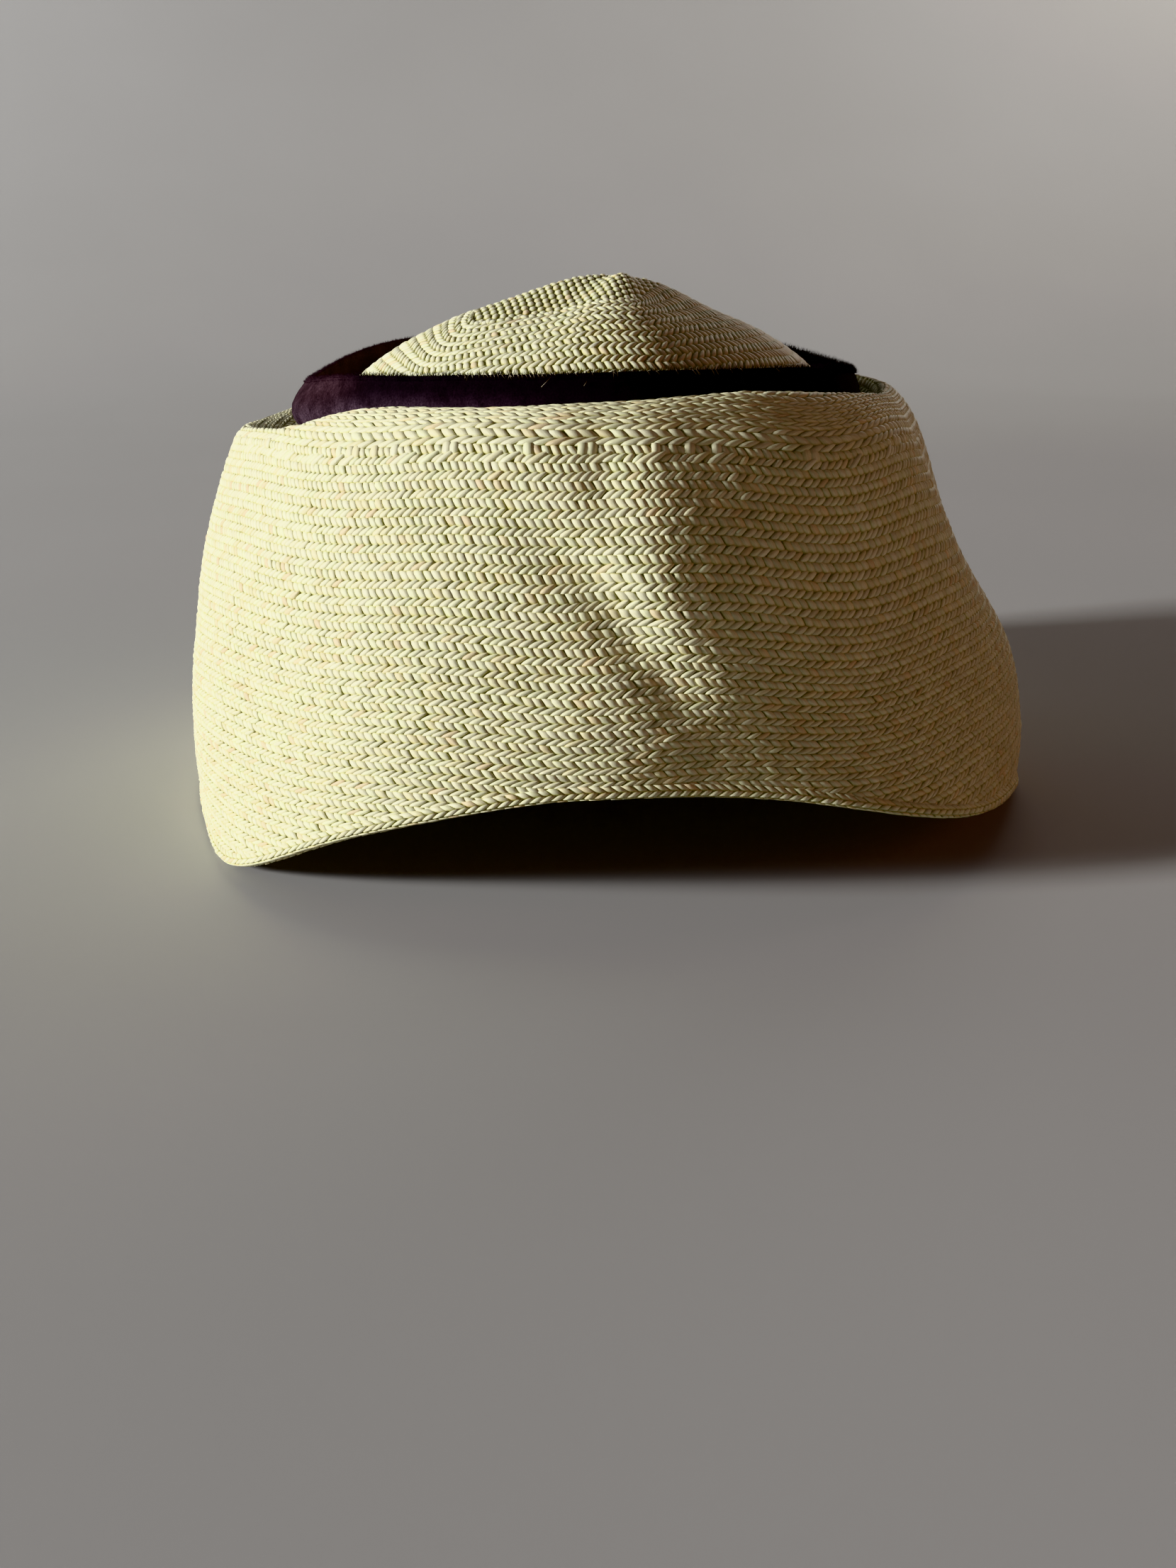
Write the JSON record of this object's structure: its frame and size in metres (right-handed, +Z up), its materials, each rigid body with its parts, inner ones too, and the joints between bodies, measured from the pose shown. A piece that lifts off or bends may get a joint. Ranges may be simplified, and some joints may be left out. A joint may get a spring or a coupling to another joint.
{
  "type": "straw visor hat",
  "caption": "Woven straw hat with a shallow pointed crown, a velvet band in a valley round it and a deep flared visor brim arched over the face.",
  "frame": {"origin": "centre of the hat's box, on the plane its rim rests on", "axes": "+Z up through the crown, -Y towards the front of the visor, +X to the right of someone looking at the front"},
  "size_m": [0.2146, 0.2212, 0.1265],
  "materials": {
    "crown_straw": "herringbone woven straw",
    "brim_straw": "herringbone woven straw",
    "band_velvet": "dark aubergine velvet pile"
  },
  "bodies": {
    "root": {"crown": "crown_straw", "brim": "brim_straw", "hat_band": "band_velvet"}
  },
  "joints": []
}
